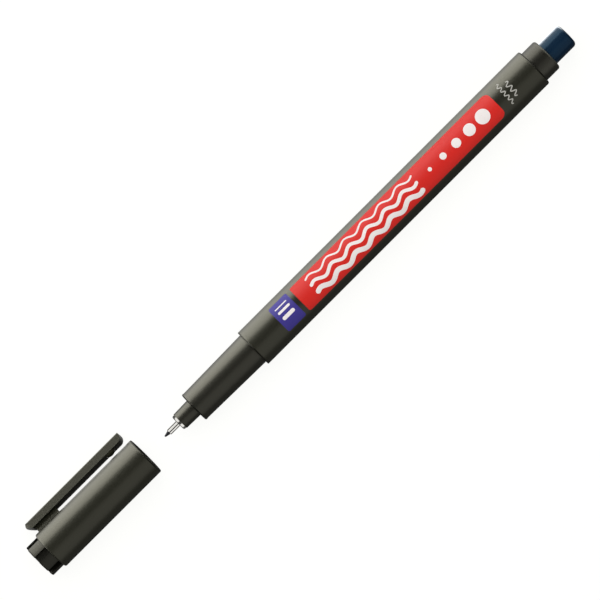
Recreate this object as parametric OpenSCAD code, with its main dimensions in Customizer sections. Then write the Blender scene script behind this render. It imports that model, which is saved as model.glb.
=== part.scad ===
// Fine-point acetate marker, lying on its clip with the cap drawn off in line with the pen.
// The pen points along -X and Z is up. All sizes are in millimetres.
// Places along the pen are measured from the front edge of the barrel, positive towards the plug.

/* [Barrel] */
// Outside diameter of the barrel and of the cap, which are flush when the pen is closed
body_d = 10; // [9:0.1:12]
// Length of the barrel tube
barrel_len = 91.2; // [80:0.1:110]
// Wall of the barrel tube
barrel_wall = 1; // [0.8:0.05:1.2]
// Rounding of the barrel's rear edge
barrel_rear_round = 0.4; // [0.2:0.05:0.6]
// Rounding of the barrel's front edge
barrel_front_round = 0.15; // [0.1:0.05:0.4]
// Ribs inside the barrel that centre the ink store
barrel_ribs = 4; // [3:1:6]
// Width of one rib
barrel_rib_w = 0.6; // [0.4:0.1:1]

/* [Front section] */
// Length of the grip in front of the barrel
front_len = 19.2; // [16:0.1:24]
// Step from the barrel's bore up to the root of the grip
front_shoulder = 0.25; // [0.15:0.05:0.35]
// How much the grip tapers towards the nose, on the diameter
front_taper = 0.64; // [0.2:0.02:0.9]
// Height of the snap bead at the front of the grip
bead_h = 0.07; // [0.03:0.01:0.15]
// Length of the snap bead
bead_len = 0.7; // [0.4:0.1:1.2]
// Length of the spigot that goes into the barrel
spigot_len = 11; // [8:0.5:15]
// Wall of that spigot
grip_wall = 0.68; // [0.5:0.02:0.9]
// Thickness of the lip round the nose
lip_len = 1.5; // [1:0.1:2.5]
// How far the lip stands in from the grip's bore
lip_h = 1; // [0.7:0.05:1.3]

/* [Nib holder] */
// Length of the nose in front of the lip
nose_len = 4.4; // [3:0.1:6]
// How much the nose tapers towards its tip, on the diameter
nose_taper = 0.22; // [0:0.02:0.4]
// Length of the holder's body behind the lip
holder_len = 8; // [6:0.5:10]
// Air grooves along the holder's body
air_grooves = 4; // [2:1:6]
// Width and depth of one air groove
air_groove = 0.5; // [0.3:0.1:0.7]

/* [Point] */
// Diameter of the nib rod
nib_d = 1.05; // [0.8:0.05:1.2]
// Length of nib outside the sleeve
nib_out = 1.4; // [1.2:0.1:2]
// Diameter of the writing tip
nib_tip_d = 0.46; // [0.2:0.02:0.6]
// How far the nib reaches into the ink store
nib_in_store = 14; // [8:1:20]
// Wall of the metal sleeve
sleeve_wall = 0.17; // [0.12:0.01:0.2]
// Length of bare sleeve in front of its flange
sleeve_len = 2.9; // [2:0.1:4]
// Length of sleeve behind its flange, inside the nose
shank_len = 5; // [4:0.5:7]
// How far the flange stays back from the edge of the nose
flange_step = 0.17; // [0.05:0.01:0.4]
// Thickness of the flange
flange_len = 0.7; // [0.5:0.05:1]
// Rounding of the flange's front edge
flange_round = 0.35; // [0.2:0.05:0.45]

/* [Ink store] */
// Thickness of the film round the fibres
film_t = 0.1; // [0.05:0.01:0.2]
// Slack at each end of the store
store_slack = 0.3; // [0.2:0.05:0.6]
// Radial room round the wrapped store inside the grip
store_room = 0.1; // [0.05:0.01:0.2]

/* [Rear end] */
// Step from the barrel's bore up to the collar on which the cap is posted
collar_shoulder = 0.225; // [0.1:0.025:0.35]
// Length of the collar
collar_len = 4.25; // [3:0.05:6]
// Rounding of the collar's rear edge
collar_round = 0.6; // [0.3:0.05:0.8]
// Length of the stopper inside the barrel
stopper_len = 8; // [6:0.5:12]
// Thickness of the stopper's inner wall
stopper_floor = 1.5; // [1:0.1:2.5]
// Wall of the stopper round the colour plug
stopper_wall = 0.85; // [0.7:0.01:1.1]
// Length of plug outside the collar
plug_out = 6.45; // [5:0.05:9]
// Rounding of the plug's end
plug_round = 0.9; // [0.5:0.1:1.4]
// Wall of the plug round the core hole in its hidden end
plug_wall = 1.3; // [0.9:0.1:1.6]

/* [Cap] */
// Gap from the writing tip to the mouth of the cap, as it lies off the pen
cap_gap = 6.1; // [2:0.1:20]
// Free length past the writing tip inside the closed cap
tip_clear = 1.1; // [0.5:0.1:2]
// Thickness of the cap's end behind that free length
cap_end_wall = 4.75; // [4.2:0.05:6]
// Length of the slotted end that stands out of the shell
vent_len = 3.45; // [2.5:0.05:4]
// Vent slots round the slotted end
vent_slots = 6; // [4:1:7]
// Width of one vent slot
vent_slot_w = 1.7; // [0.8:0.1:2]
// Step from the outside of the sealing cup up to the floor of the slots
vent_land = 0.18; // [0.1:0.02:0.4]
// Turn of the slots from the clip
vent_turn = 40; // [0:1:60]
// Step in the shell's bore that the inner cap is pushed up to
seat_step = 0.135; // [0.08:0.005:0.2]
// Length of the inner cap's seat inside the shell
seat_len = 3.5; // [2.5:0.1:6]
// Wall of the sealing cup
cup_wall = 0.7; // [0.5:0.05:0.8]
// Gap from the front of the grip to the rim of the sealing cup
cup_gap = 1; // [0.6:0.1:2]
// Rounding of the slotted end's rim
vent_round = 0.25; // [0.1:0.05:0.4]
// Rounding of the shell's closed end
shell_round = 0.4; // [0.1:0.05:0.45]
// Rounding of the shell's mouth
mouth_round = 0.25; // [0.1:0.05:0.3]
// Lead-in inside the shell's mouth
mouth_lead = 0.2; // [0.1:0.05:0.3]

/* [Clip] */
// Width of the clip
clip_w = 3.2; // [2.6:0.1:4]
// Thickness of the clip
clip_t = 1.95; // [1.6:0.05:2.2]
// Gap between the clip and the shell
clip_gap = 1.52; // [1.2:0.02:2.2]
// How far the clip's tip stays back from the cap's mouth
clip_back = 1.1; // [0.5:0.1:4]
// How far the clip reaches past the shell's closed end
clip_over = 0.45; // [0:0.05:1]
// Rounding of the clip's long edges
clip_edge = 0.25; // [0.1:0.05:0.4]
// Rounding of the corners of the clip's heel, which overhangs the closed end
heel_side_round = 1.3; // [0.6:0.1:1.3]
// Chamfer along the outer edge of the heel's end
heel_chamfer = 0.55; // [0.2:0.05:0.6]
// Height of the square end of the clip's tip, above its rounded lead-in
toe_flat = 0.45; // [0.3:0.05:1]
// Length of the web between clip and shell
web_len = 6.65; // [5:0.05:9]
// How far the web stays in from each side of the clip
web_inset = 1.15; // [0.3:0.05:1.2]
// Distance of the web from the shell's closed end
web_back = 1.15; // [1:0.05:3]
// Fillet between the web and the clip's heel
web_fillet = 0.3; // [0.2:0.05:0.5]
// Height of the gripping bump under the clip
bump_h = 0.65; // [0.4:0.05:1]
// Radius of the gripping bump, a dome in the middle of the clip's width
bump_r = 1.8; // [1.2:0.1:1.9]
// Distance of the bump from the clip's tip
bump_back = 4.4; // [3:0.1:8]

/* [Fits] */
// Radial clearance between pieces that are pressed together
seat_fit = 0.02; // [0.01:0.005:0.05]
// Radial clearance between the cap and what it slides over
cap_fit = 0.05; // [0.03:0.01:0.15]
// Gap left between the cap's mouth and the barrel when the pen is closed
close_gap = 0.05; // [0.02:0.01:0.2]

/* [Hidden] */
$fn = 96;
over = 1;

// Radii that pieces share
body_r = body_d / 2;
bore_r = body_r - barrel_wall;
spigot_r = bore_r - seat_fit;
front_root_r = bore_r + front_shoulder;
front_tip_r = front_root_r - front_taper / 2;
front_bore_r = spigot_r - grip_wall;
holder_r = front_bore_r - seat_fit;
lip_r = front_bore_r - lip_h;
nose_base_r = lip_r - seat_fit;
nose_tip_r = nose_base_r - nose_taper / 2;
nib_r = nib_d / 2;
sleeve_bore_r = nib_r + seat_fit;
sleeve_r = sleeve_bore_r + sleeve_wall;
flange_r = nose_tip_r - flange_step;
store_r = front_bore_r - store_room;
fibre_r = store_r - film_t - seat_fit;
rib_r = store_r + seat_fit;
collar_r = bore_r + collar_shoulder;
plug_bore_r = spigot_r - stopper_wall;
plug_r = plug_bore_r - seat_fit;
shell_bore_r = front_root_r + cap_fit;
shell_seat_r = shell_bore_r + seat_step;
vent_r = shell_seat_r - seat_fit;
cup_bore_r = nose_base_r + cap_fit;
cup_r = cup_bore_r + cup_wall;
slot_floor_r = cup_r + vent_land;

// Places along the pen
front_x = -front_len;
lip_x = front_x + lip_len;
nose_x = front_x - nose_len;
flange_x = nose_x - flange_len;
sleeve_x = flange_x - sleeve_len;
nib_x = sleeve_x - nib_out;
holder_x = lip_x + holder_len;
store_front_x = holder_x + store_slack;
stopper_x = barrel_len - stopper_len;
store_rear_x = stopper_x - store_slack;
collar_x = barrel_len + collar_len;
plug_x = collar_x + plug_out;

// Places along the cap, which is drawn off by cap_travel
mouth_x = nib_x - cap_gap;
cap_travel = -mouth_x - close_gap;
cup_rim_x = mouth_x - front_len - cup_gap;
cup_floor_x = mouth_x + nib_x - tip_clear;
cap_end_x = cup_floor_x - cap_end_wall;
shell_end_x = cap_end_x + vent_len;
seat_x = shell_end_x + seat_len;
heel_x = shell_end_x - clip_over;
toe_x = mouth_x - clip_back;

// The clip is turned down until its long edge rests on the surface that the barrel lies on
clip_in = body_r + clip_gap;
clip_out = clip_in + clip_t;
heel_slope = min(web_back + clip_over - web_fillet, clip_t * 2 / 3);
clip_lead = clip_t - toe_flat;
web_w = clip_w - 2 * web_inset;
edge_out = clip_out - clip_edge;
edge_side = clip_w / 2 - clip_edge;
clip_drop = asin((body_r - clip_edge) / norm([edge_out, edge_side])) - atan2(edge_side, edge_out);
clip_reach = edge_out * cos(clip_drop) + edge_side * sin(clip_drop) + clip_edge;

// The origin is at the middle of the space that the part takes up, on the surface
mid_x = (cap_end_x + plug_x) / 2;
mid_y = (clip_reach - body_r) / 2;
echo(cap_travel = cap_travel, mid_x = mid_x, mid_y = mid_y, clip_drop = clip_drop);

module placed() {
    translate([-mid_x, -mid_y, body_r]) children();
}

// A solid turned about the pen's axis from a profile drawn as [place along the pen, radius]
module turned() {
    rotate([0, 90, 0]) rotate_extrude() mirror([1, -1]) children();
}

// What a rounding takes off a corner, with the solid on the sides sx and sy of that corner
module round_off(corner, sx, sy, r) {
    difference() {
        translate(corner + [sx, sy] * (r - over) / 2) square(r + over, center = true);
        translate(corner + [sx, sy] * r) circle(r = r);
    }
}

// A plain cylinder along the pen's axis
module rod(x0, x1, r) {
    translate([x0, 0, 0]) rotate([0, 90, 0]) cylinder(h = x1 - x0, r = r);
}

// Copies of a shape, evenly spaced round the pen's axis
module around(count, turn = 0) {
    for (i = [0:count - 1]) rotate([turn + i * 360 / count, 0, 0]) children();
}

// A bar along the pen, from radius r0 to r1 on the +Y side
module bar(x0, x1, r0, r1, w) {
    translate([x0, r0, -w / 2]) cube([x1 - x0, r1 - r0, w]);
}

// Moulded tube that carries the print, with ribs inside that hold the ink store in its middle
module barrel() {
    color("#4a4a42") placed() {
        turned() difference() {
            translate([0, bore_r]) square([barrel_len, barrel_wall]);
            round_off([0, body_r], 1, -1, barrel_front_round);
            round_off([barrel_len, body_r], -1, -1, barrel_rear_round);
        }
        around(barrel_ribs, 180 / barrel_ribs)
            bar(spigot_len + store_slack, store_rear_x, rib_r, bore_r + barrel_wall / 2, barrel_rib_w);
    }
}

// Tapered grip, pressed into the barrel by its spigot, with a snap bead and a lip round the nose
module front_section() {
    bead_r = front_tip_r + bead_h;
    color("#4b4b47") placed() turned() difference() {
        polygon([
            [front_x, lip_r],
            [front_x, bead_r],
            [front_x + bead_len / 2, bead_r],
            [front_x + bead_len, front_tip_r],
            [0, front_root_r],
            [0, spigot_r],
            [spigot_len, spigot_r],
            [spigot_len, front_bore_r],
            [lip_x, front_bore_r],
            [lip_x, lip_r]
        ]);
        round_off([front_x, bead_r], 1, -1, bead_len / 2);
    }
}

// Nose and body in one, set in the grip from behind, with grooves that let air into the store
module nib_holder() {
    shank_x = nose_x + shank_len + seat_fit;
    shank_bore_r = sleeve_r + seat_fit;
    color("#45453f") placed() difference() {
        turned() polygon([
            [nose_x, shank_bore_r],
            [nose_x, nose_tip_r],
            [front_x, nose_base_r],
            [lip_x, nose_base_r],
            [lip_x, holder_r],
            [holder_x, holder_r],
            [holder_x, sleeve_bore_r],
            [shank_x, sleeve_bore_r],
            [shank_x, shank_bore_r]
        ]);
        around(air_grooves)
            bar(lip_x - over, holder_x + over, holder_r - air_groove, holder_r + over, air_groove);
    }
}

// Drawn metal sleeve that carries the fine nib, with a flange seated on the nose
module nib_sleeve() {
    color("#d8d8d6") placed() turned() difference() {
        polygon([
            [sleeve_x, sleeve_bore_r],
            [sleeve_x, sleeve_r],
            [flange_x, sleeve_r],
            [flange_x, flange_r],
            [nose_x, flange_r],
            [nose_x, sleeve_r],
            [nose_x + shank_len, sleeve_r],
            [nose_x + shank_len, sleeve_bore_r]
        ]);
        round_off([sleeve_x, sleeve_r], 1, -1, sleeve_wall / 2);
        round_off([flange_x, flange_r], 1, -1, flange_round);
    }
}

// One pressed-fibre rod, pointed at the front and pushed into the ink store at the back
module nib() {
    tip_r = nib_tip_d / 2;
    rear_x = store_front_x + nib_in_store;
    color("#1c1c1c") placed() {
        turned() polygon([
            [nib_x + tip_r, 0],
            [nib_x + tip_r, tip_r],
            [sleeve_x, nib_r],
            [rear_x, nib_r],
            [rear_x, 0]
        ]);
        translate([nib_x + tip_r, 0, 0]) sphere(r = tip_r);
    }
}

// Fibre core that holds the ink, with the hole that the nib has pushed into it
module ink_reservoir() {
    color("#27406b") placed() difference() {
        rod(store_front_x, store_rear_x, fibre_r);
        rod(store_front_x - over, store_front_x + nib_in_store + seat_fit, nib_r + seat_fit);
    }
}

// Film tube round the fibre core
module reservoir_film() {
    color("#e6e8ea") placed() difference() {
        rod(store_front_x, store_rear_x, store_r);
        rod(store_front_x - over, store_rear_x + over, store_r - film_t);
    }
}

// Stopper pressed into the barrel, whose collar holds the plug and takes the cap while writing
module end_stopper() {
    floor_x = stopper_x + stopper_floor;
    color("#45453f") placed() turned() difference() {
        polygon([
            [stopper_x, 0],
            [stopper_x, spigot_r],
            [barrel_len, spigot_r],
            [barrel_len, collar_r],
            [collar_x, collar_r],
            [collar_x, plug_bore_r],
            [floor_x, plug_bore_r],
            [floor_x, 0]
        ]);
        round_off([collar_x, collar_r], -1, -1, collar_round);
    }
}

// Coloured plug that shows the ink's colour, cored out from its hidden end
module colour_plug() {
    inner_x = stopper_x + stopper_floor;
    core_r = plug_r - plug_wall;
    color("#14304a") placed() turned() difference() {
        polygon([
            [inner_x, core_r],
            [inner_x, plug_r],
            [plug_x, plug_r],
            [plug_x, 0],
            [collar_x, 0],
            [collar_x, core_r]
        ]);
        round_off([plug_x, plug_r], -1, -1, plug_round);
    }
}

// Clip seen from the side, with the slope under its heel and the lead-in under its tip
module clip_side() {
    difference() {
        polygon([
            [heel_x + heel_chamfer, clip_out],
            [toe_x, clip_out],
            [toe_x, clip_in],
            [heel_x + heel_slope, clip_in],
            [heel_x, clip_in + heel_slope],
            [heel_x, clip_out - heel_chamfer]
        ]);
        round_off([toe_x, clip_in], -1, 1, clip_lead);
    }
}

// Clip seen from outside, with the heel's corners rounded
module clip_plan() {
    difference() {
        translate([heel_x, -clip_w / 2]) square([toe_x - heel_x, clip_w]);
        for (side = [-1, 1]) round_off([heel_x, side * clip_w / 2], 1, -side, heel_side_round);
    }
}

// Section across the clip, with its outer edges rounded
module clip_section() {
    difference() {
        translate([clip_in, -clip_w / 2]) square([clip_t, clip_w]);
        for (side = [-1, 1]) round_off([clip_out, side * clip_w / 2], -1, -side, clip_edge);
    }
}

// Web under the clip seen from the side, with a fillet towards the heel
module web_side() {
    web_x = shell_end_x + web_back;
    root_r = (body_r + shell_seat_r) / 2;
    fillet_x = web_x - web_fillet;
    fillet_r = clip_in - web_fillet;
    difference() {
        translate([fillet_x, root_r]) square([web_len + web_fillet, clip_in + clip_t / 2 - root_r]);
        translate([fillet_x - over, root_r - over]) square([web_fillet + over, fillet_r - root_r + over]);
        translate([fillet_x, fillet_r]) circle(r = web_fillet);
    }
}

// Domed bump under the clip that grips a pocket, rooted a little way into the clip
module clip_bump() {
    translate([toe_x - bump_back, clip_in - bump_h + bump_r, 0]) intersection() {
        sphere(r = bump_r);
        translate([-bump_r, -bump_r, -bump_r]) cube([2 * bump_r, 1.1 * bump_h, 2 * bump_r]);
    }
}

// Clip, bump and web, drawn on the +Y side of the cap
module clip() {
    intersection() {
        translate([0, 0, -clip_w / 2]) linear_extrude(clip_w) clip_side();
        translate([heel_x, 0, 0]) rotate([90, 0, 90]) linear_extrude(toe_x - heel_x) clip_section();
        translate([0, clip_out, 0]) rotate([90, 0, 0]) linear_extrude(clip_t) clip_plan();
    }
    clip_bump();
    translate([0, 0, -web_w / 2]) linear_extrude(web_w) web_side();
}

// Outer tube of the cap with its clip, one moulding, open at both ends
module cap_shell() {
    color("#4a4a42") placed() {
        turned() difference() {
            polygon([
                [shell_end_x, shell_seat_r],
                [shell_end_x, body_r],
                [mouth_x, body_r],
                [mouth_x, shell_bore_r + mouth_lead],
                [mouth_x - mouth_lead, shell_bore_r],
                [seat_x, shell_bore_r],
                [seat_x, shell_seat_r]
            ]);
            round_off([shell_end_x, body_r], 1, -1, shell_round);
            round_off([mouth_x, body_r], -1, -1, mouth_round);
        }
        rotate([-clip_drop, 0, 0]) clip();
    }
}

// Inner cap, pushed in from the closed end: a cup that seals round the nose, and vent slots past it
module inner_cap() {
    color("#3e3e3a") placed() difference() {
        turned() difference() {
            polygon([
                [cap_end_x, 0],
                [cap_end_x, vent_r],
                [seat_x, vent_r],
                [seat_x, cup_r],
                [cup_rim_x, cup_r],
                [cup_rim_x, cup_bore_r],
                [cup_floor_x, cup_bore_r],
                [cup_floor_x, 0]
            ]);
            round_off([cap_end_x, vent_r], 1, -1, vent_round);
        }
        around(vent_slots, vent_turn - clip_drop)
            bar(cap_end_x - over, seat_x + over, slot_floor_r, vent_r + over, vent_slot_w);
    }
}

barrel();
front_section();
nib_holder();
nib_sleeve();
nib();
ink_reservoir();
reservoir_film();
end_stopper();
colour_plug();
cap_shell();
inner_cap();
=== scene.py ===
"""Looks of a fine acetate marker: finishes, print and ink store on its CAD model, and its stage."""

import math

import bmesh
import bpy
from bpy.props import FloatProperty, FloatVectorProperty, IntProperty, PointerProperty
from mathutils import Matrix, Vector


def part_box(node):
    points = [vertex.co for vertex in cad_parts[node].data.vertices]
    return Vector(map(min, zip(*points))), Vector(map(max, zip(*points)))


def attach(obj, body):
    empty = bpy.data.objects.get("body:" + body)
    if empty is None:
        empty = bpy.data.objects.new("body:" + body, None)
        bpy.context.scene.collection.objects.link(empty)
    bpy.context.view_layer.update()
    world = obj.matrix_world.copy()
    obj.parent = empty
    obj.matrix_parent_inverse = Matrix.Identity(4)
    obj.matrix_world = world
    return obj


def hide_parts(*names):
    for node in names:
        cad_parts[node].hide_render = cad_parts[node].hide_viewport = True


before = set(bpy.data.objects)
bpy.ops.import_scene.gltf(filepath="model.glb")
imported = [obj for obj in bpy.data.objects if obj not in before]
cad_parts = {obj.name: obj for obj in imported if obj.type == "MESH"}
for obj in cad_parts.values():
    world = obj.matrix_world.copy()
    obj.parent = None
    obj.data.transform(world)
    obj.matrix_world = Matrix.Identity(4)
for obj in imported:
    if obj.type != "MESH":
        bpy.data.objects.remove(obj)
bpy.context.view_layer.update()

bl_info = {
    "name": "Acetate Marker",
    "version": (1, 0, 0),
    "blender": (4, 5, 0),
    "location": "3D View > Sidebar > Marker",
    "description": "Finishes, print and stage for a fine acetate marker",
    "category": "Object",
}

# The scene is in metres
MM = 0.001

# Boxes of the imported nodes, the barrel's radius and the pen's axis
barrel_low, barrel_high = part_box("barrel")
_, shell_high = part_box("cap_shell")
store_low, store_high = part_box("ink_reservoir")
nib_low, nib_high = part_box("nib")
_, plug_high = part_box("colour_plug")
barrel_r = (barrel_high.z - barrel_low.z) / 2
axis_point = (barrel_low + barrel_high) / 2

# The inputs that tell a geometry tree where the pen's axis is
PEN_AXIS = {"Axis Y": axis_point.y, "Axis Z": axis_point.z}

# The cap rests on the edge of its clip, which is turned this far below level
CLIP_DROP = math.radians(25.4)

# A moulded edge changes as far as this reach. Each kind of edge has its tone beside the plain plastic's,
# its roughness, and how far it is rounded over.
# The darker tone at the joints is painted shade, and the collar's paler rim is a painted highlight.
EDGE_REACH = 0.42 * MM
# Darker edges where parts meet: painted shade in the joints, on a real rounding
SHADED_JOINT_EDGE = {"tone": 0.3, "roughness": 0.4, "drop": 0.63 * MM}
CRISP_EDGE = {"tone": 0.6, "roughness": 0.4, "drop": 0.0}
# Paler rim: a painted highlight on the collar's rear edge
PAINTED_RIM_HIGHLIGHT = {"tone": 12.0, "roughness": 0.38, "drop": 0.0}
DULL_END = {"tone": 0.5, "roughness": 0.95, "drop": 0.0}

# Place across the print and width, in millimetres, of each straight bar and each waved line, and the steps
# that draw a waved line
BARS = ((2.2, 0.3), (1.0, 0.6), (-0.6, 0.9))
WAVES = ((2.2, 0.45), (0.2, 0.8), (-2.0, 1.2))
WAVE_STEPS = 240

# Each hairline's distance behind the panel, its two ends across it and its swing, in millimetres, and then
# its number of waves and the steps that draw them
HAIRLINES = ((2.9, -3.0, 3.2, 0.4, 5, 160), (4.8, -2.2, 2.0, 0.55, 3, 100))

# Seed of the strands' wander
STRAND_SEED = 3

# Half the floor's side in metres, and the light that falls on the open floor, where 1 is white
FLOOR_HALF = 4.0
FLOOR_LIGHT = 0.55


def linear(hex_colour):
    """An sRGB hex colour as linear red, green and blue."""
    channels = [int(hex_colour[i : i + 2], 16) / 255 for i in (1, 3, 5)]
    return tuple(c / 12.92 if c <= 0.04045 else ((c + 0.055) / 1.055) ** 2.4 for c in channels)


def per_mm(size):
    """Texture scale at which one cell of a pattern is that many millimetres wide."""
    return 1 / (size * MM)


def colour_property(name, description, hex_colour):
    """A colour setting."""
    return FloatVectorProperty(
        name=name, description=description, subtype="COLOR", size=3, min=0, max=1,
        default=linear(hex_colour),
    )


def length_property(name, description, millimetres):
    """A length setting."""
    return FloatProperty(
        name=name, description=description, subtype="DISTANCE", unit="LENGTH", min=0,
        default=millimetres * MM,
    )


def angle_property(name, description, degrees):
    """An angle setting."""
    return FloatProperty(
        name=name, description=description, subtype="ANGLE", unit="ROTATION",
        default=math.radians(degrees),
    )


def share_property(name, description, share):
    """A setting for a share of something, from none to all of it."""
    return FloatProperty(name=name, description=description, subtype="FACTOR", min=0, max=1, default=share)


def brightness_property(name, source, brightness):
    """A setting for how bright a light or a background is, where 1 is white."""
    return FloatProperty(name=name, description="Brightness of " + source, min=0, default=brightness)


class MarkerColours(bpy.types.PropertyGroup):
    """Colours of the marker's mouldings, metal, fibre and inks."""

    body: colour_property("Body", "Warm grey plastic of the barrel and the cap's shell", "#181910")
    grip: colour_property("Grip", "Charcoal plastic of the grip and the nose", "#151510")
    ends: colour_property("Ends", "Charcoal plastic of the rear collar and the inner cap", "#131310")
    plug: colour_property("Plug", "Coloured plug that shows the ink's colour", "#0f2439")
    sleeve: colour_property("Sleeve", "Plated metal of the nib's sleeve", "#f2f0ea")
    nib: colour_property("Nib", "Ink-stained nib", "#12141c")
    ink: colour_property("Ink", "Ink in the fibre store", "#1b3570")
    film: colour_property("Film", "Wrap round the fibre store", "#e6e8ea")
    red: colour_property("Red print", "Panel printed on the barrel", "#dd1b0e")
    blue: colour_property("Blue print", "Block printed in front of the panel", "#3a308c")
    white: colour_property("White print", "Strokes printed on the panel and the block", "#fbf3f0")
    pale: colour_property("Pale print", "Fine strokes printed behind the panel", "#b6b4ac")


class MarkerPrint(bpy.types.PropertyGroup):
    """Sizes of the print, with the ends of panel and block measured from the barrel's front edge."""

    film: length_property("Ink film", "Thickness of one layer of ink", 0.012)
    turn: angle_property("Turn", "Angle of the print's middle, up from the clip's side", 79.5)
    width: length_property("Width", "Width of the panel and the block round the barrel", 7.6)
    block_start: length_property("Block start", "Front end of the blue block", 8.6)
    block_end: length_property("Block end", "Rear end of the blue block", 14.2)
    panel_start: length_property("Panel start", "Front end of the red panel", 15.4)
    panel_end: length_property("Panel end", "Rear end of the red panel", 79.0)
    corner: length_property("Corner", "Rounding of the panel's rear corners", 1.6)
    small_corner: length_property("Small corner", "Rounding of all other corners", 0.5)
    wave_share: share_property("Wave share", "Share of the panel's length up to the waves' rear end", 0.6)
    waves: IntProperty(name="Waves", description="Waves in a line on the panel", min=1, max=20, default=6)
    swing: length_property("Swing", "How far a line on the panel swings to each side", 0.55)
    margin: length_property("Margin", "Room in front of the waves and of the first dot's middle", 4.0)
    rear_margin: length_property("Rear margin", "Room behind the last dot's middle", 4.4)
    dots: IntProperty(name="Dots", description="Dots in the row on the panel", min=2, max=12, default=5)
    smallest_dot: length_property("Smallest dot", "Radius of the first dot", 0.5)
    largest_dot: length_property("Largest dot", "Radius of the last dot", 1.8)
    bar_margin: length_property("Bar margin", "Room at both ends of the bars on the block", 1.0)
    hairline: length_property("Hairline", "Width of the fine strokes behind the panel", 0.25)


class MarkerStore(bpy.types.PropertyGroup):
    """Sizes of the ink store's fibre bundle."""

    strands: IntProperty(name="Strands", description="Strands in the bundle", min=20, max=200, default=110)
    strand: length_property("Strand", "Radius of one strand", 0.24)
    wander: length_property("Wander", "How far a strand wanders from a straight line", 0.05)


class MarkerStage(bpy.types.PropertyGroup):
    """Camera, lights and floor."""

    elevation: angle_property("Elevation", "Height of the camera above the clip's side", 84)
    lean: angle_property("Lean", "Angle of the pen in the picture", 45)
    distance: length_property("Distance", "From the pen to the camera", 1200)
    field: length_property("Field", "Width of the picture at the pen", 137.6)
    aim: FloatVectorProperty(
        name="Aim", description="Middle of the picture along and across the pen",
        subtype="XYZ_LENGTH", unit="LENGTH", size=2, default=(-0.893 * MM, 0.24 * MM),
    )
    side: brightness_property("Side light", "the tall softbox on the clip's side", 3.0)
    top: brightness_property("Top light", "the overhead softbox", 2.4)
    fill: brightness_property("Fill light", "the softbox on the side away from the clip", 0.38)
    collar: brightness_property("Collar light", "the light on the collar's rim", 2.0)
    collar_fill: brightness_property("Collar fill", "the collar's own softbox", 0.33)
    plug: brightness_property("Plug light", "the strip beside the plug", 6.0)
    clip: brightness_property("Clip light", "the strip between cap and clip", 1.4)
    sleeve: brightness_property("Sleeve lights", "the sleeve's own softboxes", 0.86)
    ambient: brightness_property("Ambient", "the room on matt surfaces", 0.22)
    mirror: brightness_property("Mirrored room", "the room in reflections", 0.07)
    lit_floor: brightness_property("Lit floor", "the lit floor in reflections", 3.0)
    lit_from: length_property("Lit from", "Where the floor in reflections begins to be lit", 2.5)
    lit_to: length_property("Lit to", "Where the floor in reflections is fully lit", 16.5)
    floor: colour_property("Floor", "Pale floor and background", "#fefefc")
    shadow: share_property("Shadow", "Share of the floor's brightness that shadows take", 0.12)


def find(sockets, key):
    """The socket in use that has that place or name."""
    live = [s for s in sockets if s.enabled]
    return live[key] if isinstance(key, int) else next(s for s in live if s.name == key)


def add(tree, kind, inputs=None, output=0, **settings):
    """Adds a node with its settings, sets or links its inputs, and returns one of its outputs."""
    node = tree.nodes.new(kind)
    for name, value in settings.items():
        setattr(node, name, value)
    for key, value in (inputs or {}).items():
        target = find(node.inputs, key)
        if isinstance(value, bpy.types.NodeSocket):
            tree.links.new(value, target)
        else:
            target.default_value = value
    return find(node.outputs, output) if node.outputs else None


def rgba(colour, gain=1.0):
    """A colour, made darker or lighter by the gain, as a colour socket takes it."""
    return (*(c * gain for c in colour), 1.0)


def new_material(name):
    """An empty material, its node tree, and the place on the piece, which its patterns follow."""
    material = bpy.data.materials.new(name)
    material.use_nodes = True
    tree = material.node_tree
    tree.nodes.clear()
    return material, tree, add(tree, "ShaderNodeTexCoord", output="Object")


def close_material(material, surface):
    """Ends a material with its surface and returns it."""
    add(material.node_tree, "ShaderNodeOutputMaterial", {"Surface": surface})
    return material


def near_edges(tree, place, edges):
    """1 at the given places along the pen, falling to 0 at the edges' reach from them."""
    along = add(tree, "ShaderNodeSeparateXYZ", {"Vector": place}, "X")
    nearest = None
    for edge in edges:
        offset = add(tree, "ShaderNodeMath", {0: along, 1: edge}, operation="SUBTRACT")
        gap = add(tree, "ShaderNodeMath", {0: offset}, operation="ABSOLUTE")
        if nearest is not None:
            gap = add(tree, "ShaderNodeMath", {0: nearest, 1: gap}, operation="MINIMUM")
        nearest = gap
    return add(
        tree, "ShaderNodeMapRange",
        {"Value": nearest, "From Min": 0.0, "From Max": EDGE_REACH, "To Min": 1.0, "To Max": 0.0},
    )


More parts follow.
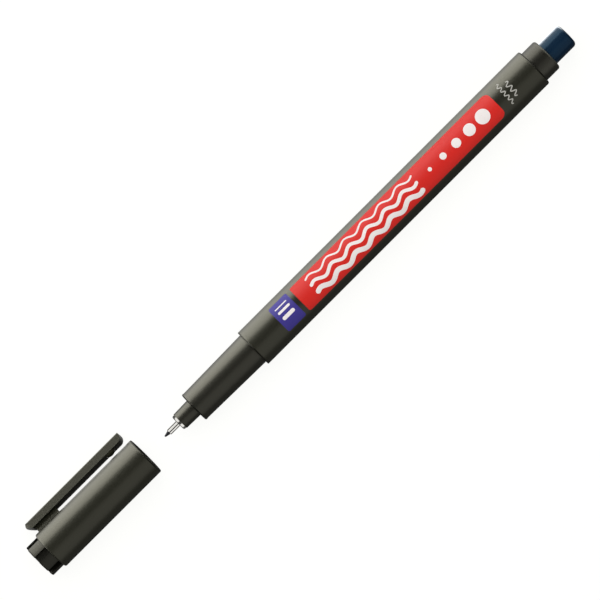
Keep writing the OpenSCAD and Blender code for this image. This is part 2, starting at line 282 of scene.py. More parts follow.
def moulded_polypropylene(name, colour, gloss, edges, edge_look):
    """Polypropylene from a spark-eroded mould: a dark satin skin with a broad, slightly warm highlight.

    The eroded grain is about 0.06 mm and is drawn at 0.3 mm, or it would not show. The melt's flow changes
    the tone by a few percent over about 11 mm. Most edges are rounded over and darkened as painted shade in
    the joints. The nose's edge is crisp and darker, the collar's rim is paler as a painted highlight, and
    the inner cap's end is dull and darker.
    """
    material, tree, place = new_material(name)
    flow = add(tree, "ShaderNodeTexNoise", {"Vector": place, "Scale": per_mm(11), "Detail": 2.0})
    dark, light, edge_tone = rgba(colour, 0.86), rgba(colour, 1.14), rgba(colour, edge_look["tone"])
    tone = add(tree, "ShaderNodeMix", {"Factor": flow, "A": dark, "B": light}, data_type="RGBA")
    edge = near_edges(tree, place, edges)
    # Near the listed edges the tone turns to each edge's own: painted shade at the joints, a painted
    # highlight on the collar's rim
    base = add(tree, "ShaderNodeMix", {"Factor": edge, "A": tone, "B": edge_tone}, data_type="RGBA")
    grain = add(tree, "ShaderNodeTexNoise", {"Vector": place, "Scale": per_mm(0.3), "Detail": 3.0})
    satin = add(tree, "ShaderNodeMapRange", {"Value": grain, "To Min": 0.33, "To Max": 0.42})
    roughness = add(tree, "ShaderNodeMix", {"Factor": edge, "A": satin, "B": edge_look["roughness"]})
    fall = add(tree, "ShaderNodeMath", {0: edge, 1: 2.0}, operation="POWER")
    rounded = add(
        tree, "ShaderNodeBump", {"Height": fall, "Strength": 1.0, "Distance": edge_look["drop"]}, invert=True
    )
    relief = add(
        tree, "ShaderNodeBump",
        {"Height": grain, "Strength": 0.12, "Distance": 0.02 * MM, "Normal": rounded},
    )
    skin = add(
        tree, "ShaderNodeBsdfPrincipled",
        {
            "Base Color": base, "Roughness": roughness, "Normal": relief, "IOR": 1.49,
            "Specular IOR Level": gloss, "Specular Tint": (1.0, 0.97, 0.8, 1.0),
        },
    )
    return close_material(material, skin)


def gloss_polystyrene(name, colour):
    """Polystyrene from a polished mould: deep colour under a clear, sharp reflection.

    The skin has a faint 2 mm ripple from shrinking, and a haze of fine handling marks in its gloss.
    """
    material, tree, place = new_material(name)
    depth = add(tree, "ShaderNodeTexNoise", {"Vector": place, "Scale": per_mm(5), "Detail": 1.0})
    dark, light = rgba(colour, 0.85), rgba(colour, 1.15)
    base = add(tree, "ShaderNodeMix", {"Factor": depth, "A": dark, "B": light}, data_type="RGBA")
    marks = add(tree, "ShaderNodeTexNoise", {"Vector": place, "Scale": per_mm(0.5), "Detail": 4.0})
    roughness = add(tree, "ShaderNodeMapRange", {"Value": marks, "To Min": 0.18, "To Max": 0.26})
    ripple = add(tree, "ShaderNodeTexNoise", {"Vector": place, "Scale": per_mm(2), "Detail": 0.0})
    relief = add(tree, "ShaderNodeBump", {"Height": ripple, "Strength": 0.1, "Distance": 0.05 * MM})
    skin = add(
        tree, "ShaderNodeBsdfPrincipled",
        {
            "Base Color": base, "Roughness": roughness, "Normal": relief, "IOR": 1.59,
            "Specular IOR Level": 0.2, "Specular Tint": (0.45, 0.78, 1.0, 1.0),
        },
    )
    return close_material(material, skin)


def plated_metal(name, colour):
    """Drawn tube, nickel-plated: a bright mirror drawn out along the tube by fine die lines.

    Die lines are about 0.02 mm apart and are drawn at 0.12 mm, or they would not show.
    """
    material, tree, place = new_material(name)
    drawn = add(tree, "ShaderNodeMapping", {"Vector": place, "Scale": (0.05, 1.0, 1.0)})
    lines = add(tree, "ShaderNodeTexNoise", {"Vector": drawn, "Scale": per_mm(0.12), "Detail": 2.0})
    dark, light = rgba(colour, 0.92), rgba(colour)
    base = add(tree, "ShaderNodeMix", {"Factor": lines, "A": dark, "B": light}, data_type="RGBA")
    roughness = add(tree, "ShaderNodeMapRange", {"Value": lines, "To Min": 0.1, "To Max": 0.22})
    relief = add(tree, "ShaderNodeBump", {"Height": lines, "Strength": 0.1, "Distance": 0.01 * MM})
    plate = add(
        tree, "ShaderNodeBsdfPrincipled",
        {"Base Color": base, "Roughness": roughness, "Normal": relief, "Metallic": 1.0},
    )
    return close_material(material, plate)


def pressed_fibre(name, colour, thread):
    """Acrylic fibres pressed into a rod and soaked with ink: matt, with threads along the pen.

    The pale threads are those that hold less ink. The width of a thread is in millimetres.
    """
    material, tree, place = new_material(name)
    along = add(tree, "ShaderNodeMapping", {"Vector": place, "Scale": (0.04, 1.0, 1.0)})
    threads = add(tree, "ShaderNodeTexNoise", {"Vector": along, "Scale": per_mm(thread), "Detail": 3.0})
    dark, light = rgba(colour, 0.6), rgba(colour, 1.6)
    base = add(tree, "ShaderNodeMix", {"Factor": threads, "A": dark, "B": light}, data_type="RGBA")
    roughness = add(tree, "ShaderNodeMapRange", {"Value": threads, "To Min": 0.55, "To Max": 0.85})
    relief = add(tree, "ShaderNodeBump", {"Height": threads, "Strength": 0.4, "Distance": 0.03 * MM})
    fibre = add(
        tree, "ShaderNodeBsdfPrincipled",
        {"Base Color": base, "Roughness": roughness, "Normal": relief, "IOR": 1.49},
    )
    return close_material(material, fibre)


def clear_film(name, colour):
    """Thin polypropylene wrap: clear, with the faint creases of a wrapped tube, about 3 mm apart."""
    material, tree, place = new_material(name)
    creases = add(tree, "ShaderNodeTexNoise", {"Vector": place, "Scale": per_mm(3), "Detail": 3.0})
    roughness = add(tree, "ShaderNodeMapRange", {"Value": creases, "To Min": 0.1, "To Max": 0.25})
    relief = add(tree, "ShaderNodeBump", {"Height": creases, "Strength": 0.2, "Distance": 0.05 * MM})
    wrap = add(
        tree, "ShaderNodeBsdfPrincipled",
        {
            "Base Color": rgba(colour), "Roughness": roughness, "Normal": relief, "IOR": 1.49,
            "Transmission Weight": 0.9,
        },
    )
    return close_material(material, wrap)


def screen_ink(name, colour):
    """Screen-printed ink: an even, half-matt film whose skin keeps a trace of the screen's mesh.

    The mesh is about 0.08 mm and is drawn at 0.4 mm, or it would not show.
    """
    material, tree, place = new_material(name)
    lay = add(tree, "ShaderNodeTexNoise", {"Vector": place, "Scale": per_mm(6), "Detail": 3.0})
    thin, full = rgba(colour, 0.94), rgba(colour, 1.04)
    base = add(tree, "ShaderNodeMix", {"Factor": lay, "A": thin, "B": full}, data_type="RGBA")
    mesh = add(tree, "ShaderNodeTexNoise", {"Vector": place, "Scale": per_mm(0.4), "Detail": 2.0})
    roughness = add(tree, "ShaderNodeMapRange", {"Value": mesh, "To Min": 0.42, "To Max": 0.58})
    relief = add(tree, "ShaderNodeBump", {"Height": mesh, "Strength": 0.08, "Distance": 0.01 * MM})
    ink = add(
        tree, "ShaderNodeBsdfPrincipled",
        {
            "Base Color": base, "Roughness": roughness, "Normal": relief, "IOR": 1.5,
            "Specular IOR Level": 0.42,
        },
    )
    return close_material(material, ink)


def dress(material, *names):
    """Gives CAD nodes their finish."""
    for name in names:
        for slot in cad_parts[name].material_slots:
            slot.material = material


def new_tree(name, *sizes):
    """A geometry tree with a geometry and a material input, and one input for each named size."""
    tree = bpy.data.node_groups.new(name, "GeometryNodeTree")
    tree.interface.new_socket("Geometry", in_out="INPUT", socket_type="NodeSocketGeometry")
    tree.interface.new_socket("Geometry", in_out="OUTPUT", socket_type="NodeSocketGeometry")
    tree.interface.new_socket("Material", in_out="INPUT", socket_type="NodeSocketMaterial")
    for size in sizes:
        kind = "NodeSocketInt" if size in ("Count", "Seed") else "NodeSocketFloat"
        tree.interface.new_socket(size, in_out="INPUT", socket_type=kind)
    return tree, tree.nodes.new("NodeGroupInput").outputs


def close_tree(tree, geometry, material):
    """Ends a tree with plain geometry that carries its material, and returns the tree."""
    plain = add(tree, "GeometryNodeRealizeInstances", {"Geometry": geometry})
    dressed = add(tree, "GeometryNodeSetMaterial", {"Geometry": plain, "Material": material})
    add(tree, "NodeGroupOutput", {"Geometry": dressed})
    return tree


def apply_tree(piece, tree, **values):
    """Puts a tree on a piece as a modifier and sets its named inputs."""
    modifier = piece.modifiers.new(tree.name, "NODES")
    modifier.node_group = tree
    for item in tree.interface.items_tree:
        if item.in_out == "INPUT" and item.name in values:
            modifier[item.identifier] = values[item.name]


def settle(piece):
    """Makes the result of a piece's modifiers its own plain mesh."""
    depsgraph = bpy.context.evaluated_depsgraph_get()
    flat = piece.data
    piece.data = bpy.data.meshes.new_from_object(piece.evaluated_get(depsgraph))
    piece.modifiers.clear()
    bpy.data.meshes.remove(flat)


def new_piece(name, mesh=None):
    """A piece in the scene, with that mesh or an empty one."""
    piece = bpy.data.objects.new(name, mesh or bpy.data.meshes.new(name))
    bpy.context.scene.collection.objects.link(piece)
    return piece


def round_axis(tree, given, along, radius, angle):
    """The point so far along the pen, at that radius and angle round its axis."""
    sideways = add(tree, "ShaderNodeMath", {0: angle}, operation="COSINE")
    upwards = add(tree, "ShaderNodeMath", {0: angle}, operation="SINE")
    y, z = (
        add(tree, "ShaderNodeMath", {0: radius, 1: share, 2: given[axis]}, operation="MULTIPLY_ADD")
        for share, axis in zip((sideways, upwards), PEN_AXIS)
    )
    return add(tree, "ShaderNodeCombineXYZ", {"X": along, "Y": y, "Z": z})


def film_tree():
    """Wraps a flat print round the barrel as a thin film of ink.

    The print's X runs along the pen and its Y round the barrel; Y = 0 is at the angle Turn.
    """
    tree, given = new_tree("Printed Film", "Radius", "Thickness", "Turn", *PEN_AXIS)
    flat, thickness = given["Geometry"], given["Thickness"]
    lifted = add(
        tree, "GeometryNodeExtrudeMesh",
        {"Mesh": flat, "Offset": (0.0, 0.0, 1.0), "Offset Scale": thickness, "Individual": False}, "Mesh",
    )
    underside = add(tree, "GeometryNodeFlipFaces", {"Mesh": flat})
    joined = tree.nodes.new("GeometryNodeJoinGeometry")
    for part in (lifted, underside):
        tree.links.new(part, joined.inputs[0])
    closed = joined.outputs[0]
    film = add(tree, "GeometryNodeMergeByDistance", {"Geometry": closed, "Distance": 0.001 * MM})
    position = add(tree, "GeometryNodeInputPosition")
    x, y, z = add(tree, "ShaderNodeSeparateXYZ", {"Vector": position}).node.outputs
    arc = add(tree, "ShaderNodeMath", {0: y, 1: given["Radius"]}, operation="DIVIDE")
    angle = add(tree, "ShaderNodeMath", {0: given["Turn"], 1: arc}, operation="SUBTRACT")
    radius = add(tree, "ShaderNodeMath", {0: given["Radius"], 1: z}, operation="ADD")
    wrapped = round_axis(tree, given, x, radius, angle)
    placed = add(tree, "GeometryNodeSetPosition", {"Geometry": film, "Position": wrapped})
    smooth = add(tree, "GeometryNodeSetShadeSmooth", {"Geometry": placed, "Shade Smooth": True})
    bend = add(tree, "GeometryNodeInputMeshEdgeAngle", output="Unsigned Angle")
    rim = add(tree, "FunctionNodeCompare", {0: bend, 1: math.radians(40)}, operation="GREATER_THAN")
    crisp = add(
        tree, "GeometryNodeSetShadeSmooth",
        {"Geometry": smooth, "Selection": rim, "Shade Smooth": False}, domain="EDGE",
    )
    return close_tree(tree, crisp, given["Material"])


def dot_tree():
    """A row of flat dots that grow along X, from the first to the last."""
    tree, given = new_tree("Dot Row", "Count", "Start", "End", "Smallest", "Largest")
    last = add(tree, "ShaderNodeMath", {0: given["Count"], 1: 1.0}, operation="SUBTRACT")
    index = add(tree, "GeometryNodeInputIndex")
    share = add(tree, "ShaderNodeMath", {0: index, 1: last}, operation="DIVIDE")
    along, size = (
        add(tree, "ShaderNodeMapRange", {"Value": share, "To Min": given[first], "To Max": given[final]})
        for first, final in (("Start", "End"), ("Smallest", "Largest"))
    )
    spot = add(tree, "ShaderNodeCombineXYZ", {"X": along})
    points = add(tree, "GeometryNodePoints", {"Count": given["Count"], "Position": spot})
    disc = add(tree, "GeometryNodeMeshCircle", {"Vertices": 40, "Radius": 1.0}, fill_type="TRIANGLE_FAN")
    fine = add(tree, "GeometryNodeSubdivideMesh", {"Mesh": disc, "Level": 2})
    dots = add(tree, "GeometryNodeInstanceOnPoints", {"Points": points, "Instance": fine, "Scale": size})
    return close_tree(tree, dots, given["Material"])


def strand_tree():
    """A bundle of strands along the pen, laid out on a spiral, with a bore for the nib in its front end.

    Each strand wanders a little from a straight line, to and fro within about 7 mm.
    """
    tree, given = new_tree(
        "Fibre Bundle",
        "Count", "Seed", "Front", "Length", "Radius", "Strand", "Bore", "Depth", "Wander", *PEN_AXIS,
    )
    golden_angle = math.pi * (3 - math.sqrt(5))
    index = add(tree, "GeometryNodeInputIndex")
    middle = add(tree, "ShaderNodeMath", {0: index, 1: 0.5}, operation="ADD")
    share = add(tree, "ShaderNodeMath", {0: middle, 1: given["Count"]}, operation="DIVIDE")
    root = add(tree, "ShaderNodeMath", {0: share}, operation="SQRT")
    reach = add(tree, "ShaderNodeMath", {0: given["Radius"], 1: given["Strand"]}, operation="SUBTRACT")
    radius = add(tree, "ShaderNodeMath", {0: root, 1: reach}, operation="MULTIPLY")
    angle = add(tree, "ShaderNodeMath", {0: index, 1: golden_angle}, operation="MULTIPLY")

    # Strands that would run into the nib start behind it
    room = add(tree, "ShaderNodeMath", {0: given["Bore"], 1: given["Strand"]}, operation="ADD")
    behind = add(tree, "ShaderNodeMath", {0: radius, 1: room}, operation="LESS_THAN")
    recess = add(tree, "ShaderNodeMath", {0: behind, 1: given["Depth"]}, operation="MULTIPLY")
    start = add(tree, "ShaderNodeMath", {0: given["Front"], 1: recess}, operation="ADD")
    left = add(tree, "ShaderNodeMath", {0: given["Length"], 1: recess}, operation="SUBTRACT")
    spot = round_axis(tree, given, start, radius, angle)
    points = add(tree, "GeometryNodePoints", {"Count": given["Count"], "Position": spot})

    line = add(tree, "GeometryNodeCurvePrimitiveLine", {"End": (1.0, 0.0, 0.0)})
    path = add(tree, "GeometryNodeResampleCurve", {"Curve": line, "Count": 24})
    section = add(tree, "GeometryNodeCurvePrimitiveCircle", {"Resolution": 6, "Radius": given["Strand"]})
    strand = add(
        tree, "GeometryNodeCurveToMesh", {"Curve": path, "Profile Curve": section, "Fill Caps": True}
    )
    stretch = add(tree, "ShaderNodeCombineXYZ", {"X": left, "Y": 1.0, "Z": 1.0})
    strands = add(
        tree, "GeometryNodeInstanceOnPoints", {"Points": points, "Instance": strand, "Scale": stretch}
    )
    bundle = add(tree, "GeometryNodeRealizeInstances", {"Geometry": strands})
    waves = add(
        tree, "ShaderNodeTexNoise",
        {"W": given["Seed"], "Scale": per_mm(7), "Detail": 0.0}, "Color", noise_dimensions="4D",
    )
    swing = add(tree, "ShaderNodeVectorMath", {0: waves, 1: (0.5, 0.5, 0.5)}, operation="SUBTRACT")
    across = add(tree, "ShaderNodeVectorMath", {0: swing, 1: (0.0, 1.0, 1.0)}, operation="MULTIPLY")
    shift = add(tree, "ShaderNodeVectorMath", {0: across, "Scale": given["Wander"]}, operation="SCALE")
    wavy = add(tree, "GeometryNodeSetPosition", {"Geometry": bundle, "Offset": shift})
    smooth = add(tree, "GeometryNodeSetShadeSmooth", {"Geometry": wavy, "Shade Smooth": True})
    return close_tree(tree, smooth, given["Material"])


def ribbon(shape, centre, half_width, steps, rows):
    """Adds a flat ribbon: centre(u) is its middle and half_width(u) its half width, for u from 0 to 1.

    The steps are closer together at the ends, where a stroke is rounded.
    """
    nudge = 1e-4
    lines = []
    for i in range(steps + 1):
        u = (1 - math.cos(math.pi * i / steps)) / 2
        along = (centre(min(u + nudge, 1)) - centre(max(u - nudge, 0))).normalized()
        edge = Vector((-along.y, along.x)) * half_width(u)
        line = [centre(u) + edge * (2 * j / rows - 1) for j in range(rows + 1)]
        lines.append([shape.verts.new((*point, 0)) for point in line])
    for near, far in zip(lines, lines[1:]):
        for j in range(rows):
            shape.faces.new((near[j], far[j], far[j + 1], near[j + 1]))


def drawn_in(distance, radius):
    """How far a corner of that radius draws an edge in, at that distance from the corner's tip."""
    return radius - math.sqrt(radius**2 - (radius - distance) ** 2) if distance < radius else 0.0


def stroke(shape, start, end, width, swing=0.0, waves=0, steps=24):
    """Adds a flat stroke with round ends, straight or waved."""
    start, end = Vector(start), Vector(end)
    side = Vector((start.y - end.y, end.x - start.x)).normalized()

    def centre(u):
        return start.lerp(end, u) + side * swing * math.sin(2 * math.pi * waves * u)

    def half_width(u):
        tip = min((centre(u) - start).length, (centre(u) - end).length)
        return width / 2 - drawn_in(tip, width / 2)

    ribbon(shape, centre, half_width, steps, rows=4)


def patch(shape, start, end, half, front_corner, rear_corner):
    """Adds a flat patch along the pen with rounded corners."""

    def centre(u):
        return Vector((start + (end - start) * u, 0))

    def half_width(u):
        along = u * (end - start)
        return half - drawn_in(along, front_corner) - drawn_in(end - start - along, rear_corner)

    ribbon(shape, centre, half_width, steps=120, rows=30)


def flat_piece(name, draw, *marks):
    """A flat print made of one or more patches or strokes."""
    shape = bmesh.new()
    for mark in marks:
        draw(shape, *mark)
    bmesh.ops.remove_doubles(shape, verts=shape.verts, dist=0.0005 * MM)
    mesh = bpy.data.meshes.new(name)
    shape.to_mesh(mesh)
    shape.free()
    return new_piece(name, mesh)


def print_on_barrel(piece, tree, material, below=0):
    """Wraps a flat print round the barrel, on top of the layers below it, and fixes it to the pen."""
    sizes = bpy.context.scene.marker_print
    apply_tree(
        piece, tree, Material=material, Radius=barrel_r + below * sizes.film, Thickness=sizes.film,
        Turn=sizes.turn, **PEN_AXIS,
    )
    settle(piece)
    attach(piece, "pen")


class MARKER_OT_body(bpy.types.Operator):
    """Finish the barrel and the cap's shell, which are moulded in one plastic"""

    bl_idname = "marker.body"
    bl_label = "Barrel and Cap Shell"

    def execute(self, context):
        plastic = moulded_polypropylene(
            "Moulded polypropylene warm grey", context.scene.marker_colours.body, gloss=1.0,
            edges=[barrel_low.x, barrel_high.x, shell_high.x], edge_look=SHADED_JOINT_EDGE,
        )
        dress(plastic, "barrel", "cap_shell")
        return {"FINISHED"}


class MARKER_OT_grip(bpy.types.Operator):
    """Finish the grip, nose, rear collar and inner cap, which are moulded in charcoal plastic"""

    bl_idname = "marker.grip"
    bl_label = "Grip, Collar and Inner Cap"

    def execute(self, context):
        colours = context.scene.marker_colours
        # The corners of a node's box, low and high along the pen
        front, rear = 0, 1
        for name, node, colour, gloss, end, edge_look in (
            ("charcoal", "front_section", colours.grip, 1.0, front, SHADED_JOINT_EDGE),
            ("crisp charcoal", "nib_holder", colours.grip, 1.0, front, CRISP_EDGE),
            # The collar's rear rim gets a painted highlight
            ("charcoal with painted rim highlight", "end_stopper", colours.ends, 0.7, rear, PAINTED_RIM_HIGHLIGHT),
            ("dull charcoal", "inner_cap", colours.ends, 0.6, front, DULL_END),
        ):
            edges = [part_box(node)[end].x]
            dress(moulded_polypropylene("Moulded polypropylene " + name, colour, gloss, edges, edge_look), node)
        return {"FINISHED"}


class MARKER_OT_point(bpy.types.Operator):
    """Finish the metal sleeve and the fibre nib"""

    bl_idname = "marker.point"
    bl_label = "Sleeve and Nib"

    def execute(self, context):
        colours = context.scene.marker_colours
        dress(plated_metal("Nickel-plated drawn metal", colours.sleeve), "nib_sleeve")
        dress(pressed_fibre("Pressed acrylic fibre", colours.nib, thread=0.08), "nib")
        return {"FINISHED"}


class MARKER_OT_store(bpy.types.Operator):
    """Make the ink store's fibre bundle and finish the film round it"""

    bl_idname = "marker.store"
    bl_label = "Ink Store"

    def execute(self, context):
        colours, sizes = context.scene.marker_colours, context.scene.marker_store
        fibre = pressed_fibre("Ink-soaked fibre bundle", colours.ink, thread=0.1)
        bundle = new_piece("fibre_bundle")
        apply_tree(
            bundle, strand_tree(), Material=fibre, Count=sizes.strands, Seed=STRAND_SEED,
            Front=store_low.x, Length=store_high.x - store_low.x,
            Radius=(store_high.z - store_low.z) / 2 - sizes.wander, Strand=sizes.strand,
            Bore=(nib_high.z - nib_low.z) / 2 + sizes.wander, Depth=nib_high.x - store_low.x,
            Wander=sizes.wander, **PEN_AXIS,
        )
        settle(bundle)
        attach(bundle, "pen")
        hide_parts("ink_reservoir")
        dress(clear_film("Clear polypropylene film", colours.film), "reservoir_film")
        return {"FINISHED"}


class MARKER_OT_plug(bpy.types.Operator):
    """Finish the coloured plug"""

    bl_idname = "marker.plug"
    bl_label = "Plug"

    def execute(self, context):
        colour = context.scene.marker_colours.plug
        dress(gloss_polystyrene("Gloss polystyrene navy", colour), "colour_plug")
        return {"FINISHED"}


class MARKER_OT_print(bpy.types.Operator):
    """Print the panel, the block and their strokes on the barrel"""

    bl_idname = "marker.print"
    bl_label = "Print"

    def execute(self, context):
        colours, sizes = context.scene.marker_colours, context.scene.marker_print
        red = screen_ink("Screen ink red", colours.red)
        blue = screen_ink("Screen ink blue", colours.blue)
        white = screen_ink("Screen ink white", colours.white)
        pale = screen_ink("Screen ink pale grey", colours.pale)
        film, front, half, small = film_tree(), barrel_low.x, sizes.width / 2, sizes.small_corner

        panel = front + sizes.panel_start, front + sizes.panel_end
        print_on_barrel(flat_piece("print_panel", patch, (*panel, half, small, sizes.corner)), film, red)
        block = front + sizes.block_start, front + sizes.block_end
        print_on_barrel(flat_piece("print_block", patch, (*block, half, small, small)), film, blue)

        # Waved lines from fine to broad, then dots that grow, as samples of what points draw
        waves_start = panel[0] + sizes.margin
        waves_end = panel[0] + sizes.wave_share * (panel[1] - panel[0])
        waves = [
            ((waves_start, y * MM), (waves_end, y * MM), width * MM, sizes.swing, sizes.waves, WAVE_STEPS)
            for y, width in WAVES
        ]
        print_on_barrel(flat_piece("print_waves", stroke, *waves), film, white, below=1)
        dots = new_piece("print_dots")
        apply_tree(
            dots, dot_tree(), Material=white, Count=sizes.dots, Start=waves_end + sizes.margin,
            End=panel[1] - sizes.rear_margin, Smallest=sizes.smallest_dot, Largest=sizes.largest_dot,
        )
        print_on_barrel(dots, film, white, below=1)

        # Straight bars on the block, fine to broad
        bars_start, bars_end = block[0] + sizes.bar_margin, block[1] - sizes.bar_margin
        bars = [((bars_start, y * MM), (bars_end, y * MM), width * MM) for y, width in BARS]
        print_on_barrel(flat_piece("print_bars", stroke, *bars), film, white, below=1)

        # Hairlines round the barrel behind the panel
        tail = panel[1]
        hairlines = [
            ((tail + x * MM, y0 * MM), (tail + x * MM, y1 * MM), sizes.hairline, swing * MM, count, steps)
            for x, y0, y1, swing, count, steps in HAIRLINES
        ]
        print_on_barrel(flat_piece("print_hairlines", stroke, *hairlines), film, pale)
        return {"FINISHED"}


class MARKER_OT_stage(bpy.types.Operator):
    """Set up the floor, the room, the lights and the camera"""

    bl_idname = "marker.stage"
    bl_label = "Stage"

    def execute(self, context):
        stage = context.scene.marker_stage
        context.scene.view_settings.view_transform = "Standard"
        self.lay_floor(stage)
        self.light_room(context.scene, stage)
        self.hang_lights(stage)
        self.aim_camera(context.scene, stage)
        return {"FINISHED"}

    def seen_or_mirrored(self, tree, seen, mirrored):
        """One brightness for the camera, and another in reflections and through clear pieces."""
        rays = add(tree, "ShaderNodeLightPath").node.outputs
        glossy, through = rays["Is Glossy Ray"], rays["Is Transmission Ray"]
        bent = add(tree, "ShaderNodeMath", {0: glossy, 1: through}, operation="MAXIMUM")
        dim = add(tree, "ShaderNodeMath", {0: bent, 1: mirrored}, operation="MULTIPLY")
        direct = rays["Is Camera Ray"]
        return add(tree, "ShaderNodeMath", {0: direct, 1: seen, 2: dim}, operation="MULTIPLY_ADD")

    def lay_floor(self, stage):
        """A matt pale floor: it glows for the camera as a white sweep does, and keeps a soft shadow.

        In reflections it is lit on the clip's side only, which leaves the pen's other side dark.
        """
        shape = bmesh.new()
        bmesh.ops.create_grid(shape, x_segments=1, y_segments=1, size=FLOOR_HALF)
        mesh = bpy.data.meshes.new("floor")
        shape.to_mesh(mesh)
        shape.free()
        floor = new_piece("floor", mesh)
        material, tree, place = new_material("White paper sweep")
        aside = add(tree, "ShaderNodeSeparateXYZ", {"Vector": place}, "Y")
        mirrored = add(
            tree, "ShaderNodeMapRange",
            {
                "Value": aside, "From Min": stage.lit_from, "From Max": stage.lit_to,
                "To Min": 0.0, "To Max": stage.lit_floor,
            },
        )
        seen = self.seen_or_mirrored(tree, 1 - FLOOR_LIGHT * stage.shadow, mirrored)
        glow = add(tree, "ShaderNodeEmission", {"Color": rgba(stage.floor), "Strength": seen})
        matt = add(tree, "ShaderNodeBsdfDiffuse", {"Color": rgba(stage.floor, stage.shadow)})
        paper = add(tree, "ShaderNodeAddShader", {0: glow, 1: matt})
        mesh.materials.append(close_material(material, paper))

    def light_room(self, scene, stage):
        """An even room: white to the camera, soft on matt surfaces and dim in reflections."""
        scene.world = bpy.data.worlds.new("Studio room")
        scene.world.use_nodes = True
        tree = scene.world.node_tree
        tree.nodes.clear()
        shown = self.seen_or_mirrored(tree, 1.0, stage.mirror)
        matt = add(tree, "ShaderNodeLightPath", output="Is Diffuse Ray")
        strength = add(
            tree, "ShaderNodeMath", {0: matt, 1: stage.ambient, 2: shown}, operation="MULTIPLY_ADD"
        )
        room = add(tree, "ShaderNodeBackground", {"Color": rgba(stage.floor), "Strength": strength})
        add(tree, "ShaderNodeOutputWorld", {"Surface": room})

    def hang_lights(self, stage):
        """Three large softboxes, and others that light one node each."""
        # The side light shows only in reflections, and the top light only as shading
        side = self.softbox("side_light", (0, 0.3, 0.107), (0, -1, 0), (1.0, 0.212), stage.side)
        side.visible_diffuse = False
        top = self.softbox("top_light", (0, 0.34, 0.485), (0, -0.57, -0.82), (0.8, 0.5), stage.top)
        top.visible_glossy = False
        fill = self.softbox("fill_light", (0, -0.32, 0.38), (0, 0.64, -0.77), (1.2, 0.7), stage.fill)

        # The strong lights would burn out the sleeve, a mirror, so it has two softer ones of its own
        others = self.lit_group("All but the sleeve", "nib_sleeve", "EXCLUDE")
        for light in (side, fill, bpy.data.objects["floor"]):
            light.light_linking.receiver_collection = others

        # One softbox stands beside the collar, one strip lies just above the floor beside the plug, and one
        # strip lies in the gap between cap and clip
        beside_collar = plug_high.x, -0.3, 0.2
        from_end, from_side, from_floor = 3 * MM, 4.5 * MM, 0.3 * MM
        beside_plug = plug_high.x - from_end, plug_high.y + from_side, from_floor
        from_mouth, from_wall = 12 * MM, 1.4 * MM
        in_cap = Vector((shell_high.x - from_mouth, axis_point.y, axis_point.z))
        to_clip = Vector((0, math.cos(CLIP_DROP), -math.sin(CLIP_DROP)))
        under_clip = in_cap + to_clip * (barrel_r + from_wall)
        for name, node, place, facing, size, brightness in (
            ("sleeve_near", "nib_sleeve", (nib_low.x, 0.15, 0.3), (0, -1, 0), (0.7, 0.6), stage.sleeve),
            ("sleeve_far", "nib_sleeve", (nib_low.x, -0.2, 0.19), (0, 1, 0), (0.7, 0.34), stage.sleeve),
            ("collar_light", "end_stopper", (0.3, 0, 0.05), (-1, 0, 0), (0.1, 0.08), stage.collar),
            ("collar_fill", "end_stopper", beside_collar, (0, 1, 0), (0.6, 0.34), stage.collar_fill),
            ("plug_light", "colour_plug", beside_plug, (0, 0, 1), (0.03, 0.008), stage.plug),
            ("clip_light", "cap_shell", under_clip, -to_clip, (0.021, 0.003), stage.clip),
        ):
            own_light = self.softbox(name, place, facing, size, brightness)
            own_light.light_linking.receiver_collection = self.lit_group(name + " only", node, "INCLUDE")

    def lit_group(self, name, node, state):
        """A collection that lets a light reach only that CAD node, or everything but that one."""
        group = bpy.data.collections.new(name)
        group.objects.link(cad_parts[node])
        group.collection_objects[0].light_linking.link_state = state
        return group

    def softbox(self, name, place, facing, size, brightness):
        """An even rectangle of light that lies level, and that the camera doesn't see."""
        lamp = bpy.data.lights.new(name, "AREA")
        lamp.shape = "RECTANGLE"
        lamp.size, lamp.size_y = size
        # A lamp of this power looks as bright as a surface that glows at that strength
        lamp.energy = brightness * math.pi * size[0] * size[1]
        light = bpy.data.objects.new(name, lamp)
        bpy.context.scene.collection.objects.link(light)
        turn = Vector(facing).to_track_quat("-Z", "Y").to_matrix().to_4x4()
        light.matrix_world = Matrix.Translation(place) @ turn
        light.visible_camera = False
        return light

    def aim_camera(self, scene, stage):
        """A long lens above the clip's side, with the pen leaning in the picture."""
        pen = Vector((1, 0, 0))
        sight = Vector((0, math.cos(stage.elevation), math.sin(stage.elevation)))
        across = sight.cross(pen)
        right = pen * math.cos(stage.lean) - across * math.sin(stage.lean)
        up = pen * math.sin(stage.lean) + across * math.cos(stage.lean)
        turn = Matrix((right, up, sight)).transposed().to_4x4()
        along, aside = stage.aim
        target = Vector((along, axis_point.y, axis_point.z)) + across * aside
        camera = bpy.data.objects.new("camera", bpy.data.cameras.new("camera"))
        scene.collection.objects.link(camera)
        camera.matrix_world = Matrix.Translation(target + sight * stage.distance) @ turn
        camera.data.lens = camera.data.sensor_width * stage.distance / stage.field
        scene.camera = camera


OPERATORS = (
    MARKER_OT_body,
    MARKER_OT_grip,
    MARKER_OT_point,
    MARKER_OT_store,
    MARKER_OT_plug,
    MARKER_OT_print,
    MARKER_OT_stage,
)
SETTINGS = {
    "marker_colours": MarkerColours,
    "marker_print": MarkerPrint,
    "marker_store": MarkerStore,
    "marker_stage": MarkerStage,
}


class MARKER_PT_panel(bpy.types.Panel):
    """Lists the steps that finish the marker, and their settings"""

    bl_idname = "MARKER_PT_panel"
    bl_label = "Acetate Marker"
    bl_space_type = "VIEW_3D"
    bl_region_type = "UI"
    bl_category = "Marker"

    def draw(self, context):
        for operator in OPERATORS:
            self.layout.operator(operator.bl_idname)
        for name, group in SETTINGS.items():
            box = self.layout.box()
            for key in group.__annotations__:
                box.prop(getattr(context.scene, name), key)


def register():
    """Adds the settings, the operators and the panel to Blender."""
    for cls in (*SETTINGS.values(), *OPERATORS, MARKER_PT_panel):
        bpy.utils.register_class(cls)
    for name, group in SETTINGS.items():
        setattr(bpy.types.Scene, name, PointerProperty(type=group))


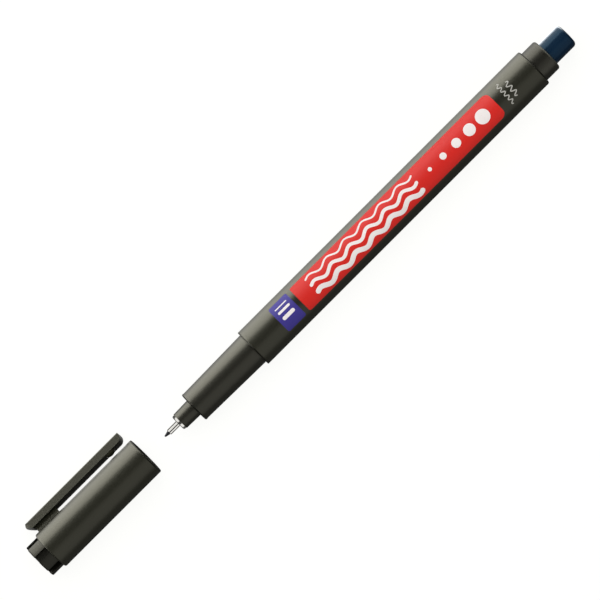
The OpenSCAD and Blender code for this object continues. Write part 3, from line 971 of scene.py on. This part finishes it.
def unregister():
    """Takes them out again."""
    for name in SETTINGS:
        delattr(bpy.types.Scene, name)
    for cls in (MARKER_PT_panel, *reversed(OPERATORS), *reversed(SETTINGS.values())):
        bpy.utils.unregister_class(cls)


def main():
    """Runs every step in order."""
    register()
    for operator in OPERATORS:
        getattr(bpy.ops.marker, operator.bl_idname.split(".")[1])()


if __name__ == "__main__":
    main()
